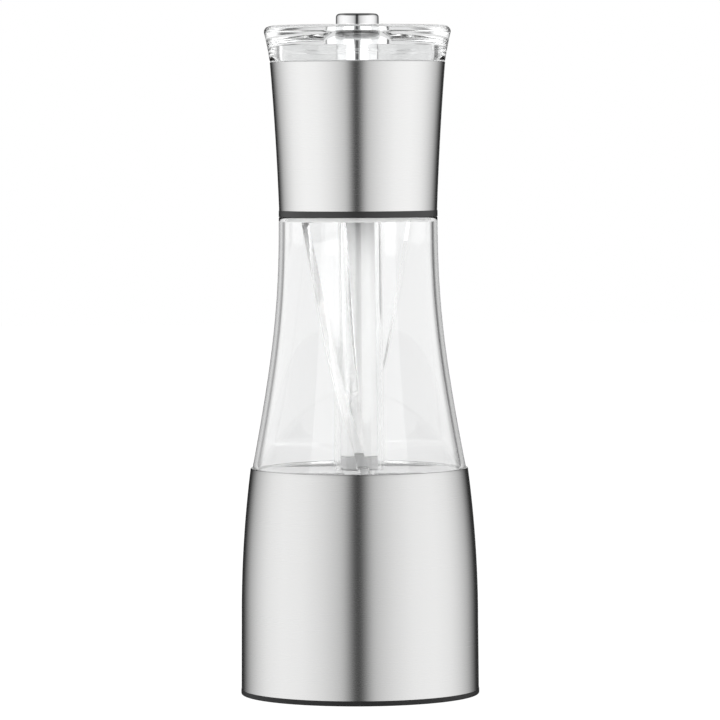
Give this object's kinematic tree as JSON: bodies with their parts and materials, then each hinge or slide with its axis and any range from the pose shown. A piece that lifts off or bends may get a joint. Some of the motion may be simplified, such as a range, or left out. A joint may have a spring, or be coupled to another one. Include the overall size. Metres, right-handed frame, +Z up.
{
  "type": "electric spice grinder",
  "caption": "Battery spice grinder: waisted clear body with a twisted dividing wall, brushed steel base and flared head, clear lid with a chromed push button.",
  "frame": {"origin": "on the axis, at the underside of the base's black rim, where the grinder stands", "axes": "+Z up along the grinder's axis; the side that the picture shows faces -Y; the two grinders lie at -X and +X"},
  "size_m": [0.0754, 0.0754, 0.2149],
  "materials": {
    "brushed_steel": "fine brushed, satin",
    "clear_plastic": "clear, polished",
    "frosted_plastic": "translucent, satin",
    "chrome": "polished",
    "black_plastic": "moulded, fine matt",
    "head_black": "moulded, half gloss",
    "white_plastic": "moulded, satin",
    "grey_plastic": "moulded, satin",
    "ceramic": "fired, unglazed",
    "gear_plastic": "moulded acetal",
    "gear_steel": "sintered",
    "machined_steel": "turned",
    "silicone": "soft, translucent",
    "spring_steel": "drawn wire",
    "motor_can": "zinc plated",
    "circuit_board": "solder mask",
    "contact_metal": "plated",
    "cell_wrap": "printed sleeve left bare",
    "lead_insulation": "insulated wire"
  },
  "bodies": {
    "base": {"base_skirt": "brushed_steel", "base_cover": "black_plastic", "base_screws": "machined_steel", "funnel_body": "white_plastic", "hopper_floor": "white_plastic", "gear_tray": "black_plastic", "tray_screws": "machined_steel", "clear_body": "clear_plastic", "divider": "clear_plastic", "burr_ring_left": "ceramic", "burr_ring_right": "ceramic"},
    "drive": {"drive_shaft": "frosted_plastic", "shaft_collar": "grey_plastic", "drive_gear": "gear_plastic"},
    "grinder_left": {"side_gear_left": "gear_plastic", "one_way_clutch_left": "machined_steel", "spindle_left": "machined_steel", "burr_cone_left": "ceramic", "burr_spring_left": "spring_steel"},
    "grinder_right": {"side_gear_right": "gear_plastic", "one_way_clutch_right": "machined_steel", "spindle_right": "machined_steel", "burr_cone_right": "ceramic", "burr_spring_right": "spring_steel"},
    "adjuster_left": {"adjuster_left": "grey_plastic"},
    "adjuster_right": {"adjuster_right": "grey_plastic"},
    "head": {"head_chassis": "head_black", "head_sleeve": "brushed_steel", "head_seal": "silicone", "gearbox_cap": "gear_plastic", "gearbox_housing": "gear_plastic", "motor_plate": "machined_steel", "motor": "motor_can", "head_screws": "machined_steel", "control_board": "circuit_board", "press_switch": "black_plastic", "battery_1": "cell_wrap", "battery_2": "cell_wrap", "battery_3": "cell_wrap", "battery_4": "cell_wrap", "battery_contacts": "contact_metal", "battery_leads": "lead_insulation"},
    "output_carrier": {"output_carrier": "gear_steel"},
    "output_planet_1": {"output_planet_1": "gear_plastic"},
    "output_planet_2": {"output_planet_2": "gear_plastic"},
    "output_planet_3": {"output_planet_3": "gear_plastic"},
    "first_carrier": {"first_carrier": "gear_steel"},
    "first_planet_1": {"first_planet_1": "gear_plastic"},
    "first_planet_2": {"first_planet_2": "gear_plastic"},
    "first_planet_3": {"first_planet_3": "gear_plastic"},
    "motor_pinion": {"motor_pinion": "gear_steel"},
    "lid": {"clear_lid": "clear_plastic", "lid_plate": "black_plastic", "lid_seal": "silicone", "contact_bridges": "contact_metal", "spring_cup": "black_plastic", "cup_screws": "machined_steel"},
    "button": {"power_button": "chrome", "button_rod": "black_plastic", "button_spring": "spring_steel"}
  },
  "joints": [
    {"name": "head_lift", "type": "slide", "parent": "base", "child": "head", "axis": [0, 0, 1], "range_m": [0, 0.05]},
    {"name": "lid_lift", "type": "slide", "parent": "head", "child": "lid", "axis": [0, 0, 1], "range_m": [0, 0.03]},
    {"name": "button_press", "type": "slide", "parent": "lid", "child": "button", "axis": [0, 0, -1], "range_m": [0, 0.0015], "stiffness_N_per_m": 400, "springref_m": -0.002, "deforming": ["button_spring"]},
    {"name": "shaft_spin", "type": "hinge", "parent": "base", "child": "drive", "pos_m": [0, 0, 0.07], "axis": [0, 0, 1], "continuous": true},
    {"name": "grinder_spin_left", "type": "hinge", "parent": "base", "child": "grinder_left", "pos_m": [-0.0162, 0, 0.06], "axis": [0, 0, 1], "continuous": true},
    {"name": "grinder_spin_right", "type": "hinge", "parent": "base", "child": "grinder_right", "pos_m": [0.0162, 0, 0.06], "axis": [0, 0, 1], "continuous": true},
    {"name": "adjust_left", "type": "hinge", "parent": "grinder_left", "child": "adjuster_left", "pos_m": [-0.0162, 0, 0.003], "axis": [0, 0, 1], "range_deg": [-150, 150]},
    {"name": "adjust_right", "type": "hinge", "parent": "grinder_right", "child": "adjuster_right", "pos_m": [0.0162, 0, 0.003], "axis": [0, 0, 1], "range_deg": [-150, 150]},
    {"name": "output_spin", "type": "hinge", "parent": "head", "child": "output_carrier", "pos_m": [0, 0, 0.155], "axis": [0, 0, 1], "continuous": true},
    {"name": "first_spin", "type": "hinge", "parent": "head", "child": "first_carrier", "pos_m": [0, 0, 0.161], "axis": [0, 0, 1], "continuous": true},
    {"name": "motor_spin", "type": "hinge", "parent": "head", "child": "motor_pinion", "pos_m": [0, 0, 0.165], "axis": [0, 0, 1], "continuous": true},
    {"name": "output_planet_1_spin", "type": "hinge", "parent": "output_carrier", "child": "output_planet_1", "pos_m": [0, 0.006, 0.1586], "axis": [0, 0, 1], "continuous": true},
    {"name": "first_planet_1_spin", "type": "hinge", "parent": "first_carrier", "child": "first_planet_1", "pos_m": [0, 0.006, 0.1647], "axis": [0, 0, 1], "continuous": true},
    {"name": "output_planet_2_spin", "type": "hinge", "parent": "output_carrier", "child": "output_planet_2", "pos_m": [-0.0052, -0.003, 0.1586], "axis": [0, 0, 1], "continuous": true},
    {"name": "first_planet_2_spin", "type": "hinge", "parent": "first_carrier", "child": "first_planet_2", "pos_m": [-0.0052, -0.003, 0.1647], "axis": [0, 0, 1], "continuous": true},
    {"name": "output_planet_3_spin", "type": "hinge", "parent": "output_carrier", "child": "output_planet_3", "pos_m": [0.0052, -0.003, 0.1586], "axis": [0, 0, 1], "continuous": true},
    {"name": "first_planet_3_spin", "type": "hinge", "parent": "first_carrier", "child": "first_planet_3", "pos_m": [0.0052, -0.003, 0.1647], "axis": [0, 0, 1], "continuous": true}
  ],
  "couplings": [
    {"joint": "grinder_spin_left", "follows": "shaft_spin", "ratio": -0.42105},
    {"joint": "grinder_spin_right", "follows": "shaft_spin", "ratio": -0.42105},
    {"joint": "output_spin", "follows": "shaft_spin", "ratio": 1},
    {"joint": "first_spin", "follows": "shaft_spin", "ratio": 5},
    {"joint": "motor_spin", "follows": "shaft_spin", "ratio": 25},
    {"joint": "output_planet_1_spin", "follows": "shaft_spin", "ratio": -2.6667},
    {"joint": "first_planet_1_spin", "follows": "shaft_spin", "ratio": -13.333},
    {"joint": "output_planet_2_spin", "follows": "shaft_spin", "ratio": -2.6667},
    {"joint": "first_planet_2_spin", "follows": "shaft_spin", "ratio": -13.333},
    {"joint": "output_planet_3_spin", "follows": "shaft_spin", "ratio": -2.6667},
    {"joint": "first_planet_3_spin", "follows": "shaft_spin", "ratio": -13.333}
  ]
}
